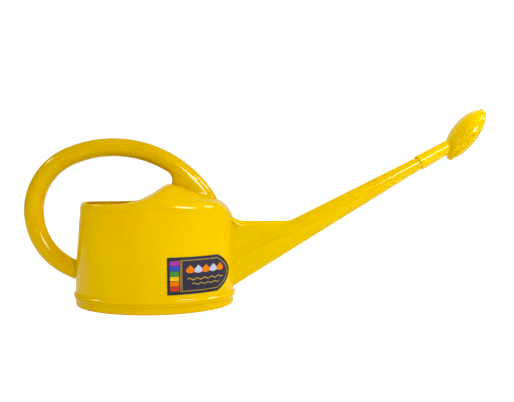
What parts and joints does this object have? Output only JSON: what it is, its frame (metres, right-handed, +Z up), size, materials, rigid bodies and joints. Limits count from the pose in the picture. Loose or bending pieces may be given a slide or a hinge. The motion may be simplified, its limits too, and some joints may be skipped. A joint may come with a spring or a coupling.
{
  "type": "watering can",
  "caption": "Small long-spouted plastic watering can: oval tank with hooded filling mouth, hollow loop handle, webbed tapering spout and a push-on oval rose that turns.",
  "frame": {"origin": "middle of the tank's underside, on the floor", "axes": "+Z up, +X towards the spout and rose, +Y across the can with the label on the -Y side"},
  "size_m": [0.581, 0.1236, 0.2459],
  "materials": {
    "can_plastic": "glossy moulded yellow polyethylene",
    "rose_plastic": "glossy moulded yellow plastic",
    "label_film": null,
    "seal_rubber": "soft black rubber"
  },
  "bodies": {
    "can": {"tank_shell": "can_plastic", "base_pan": "can_plastic", "handle": "can_plastic", "spout": "can_plastic", "label": "label_film"},
    "seal": {"rose_seal": "seal_rubber"},
    "rose": {"rose_shell": "rose_plastic"},
    "face": {"rose_face": "rose_plastic"}
  },
  "joints": [
    {"name": "rose_pull", "type": "slide", "parent": "can", "child": "seal", "axis": [0.8708, 0, 0.4917], "range_m": [0, 0.045]},
    {"name": "rose_turn", "type": "hinge", "parent": "seal", "child": "rose", "pos_m": [0.35324, 0, 0.1881], "axis": [0.8708, 0, 0.4917], "continuous": true},
    {"name": "face_pull", "type": "slide", "parent": "rose", "child": "face", "axis": [0.8358, 0, -0.549], "range_m": [0, 0.02]}
  ]
}
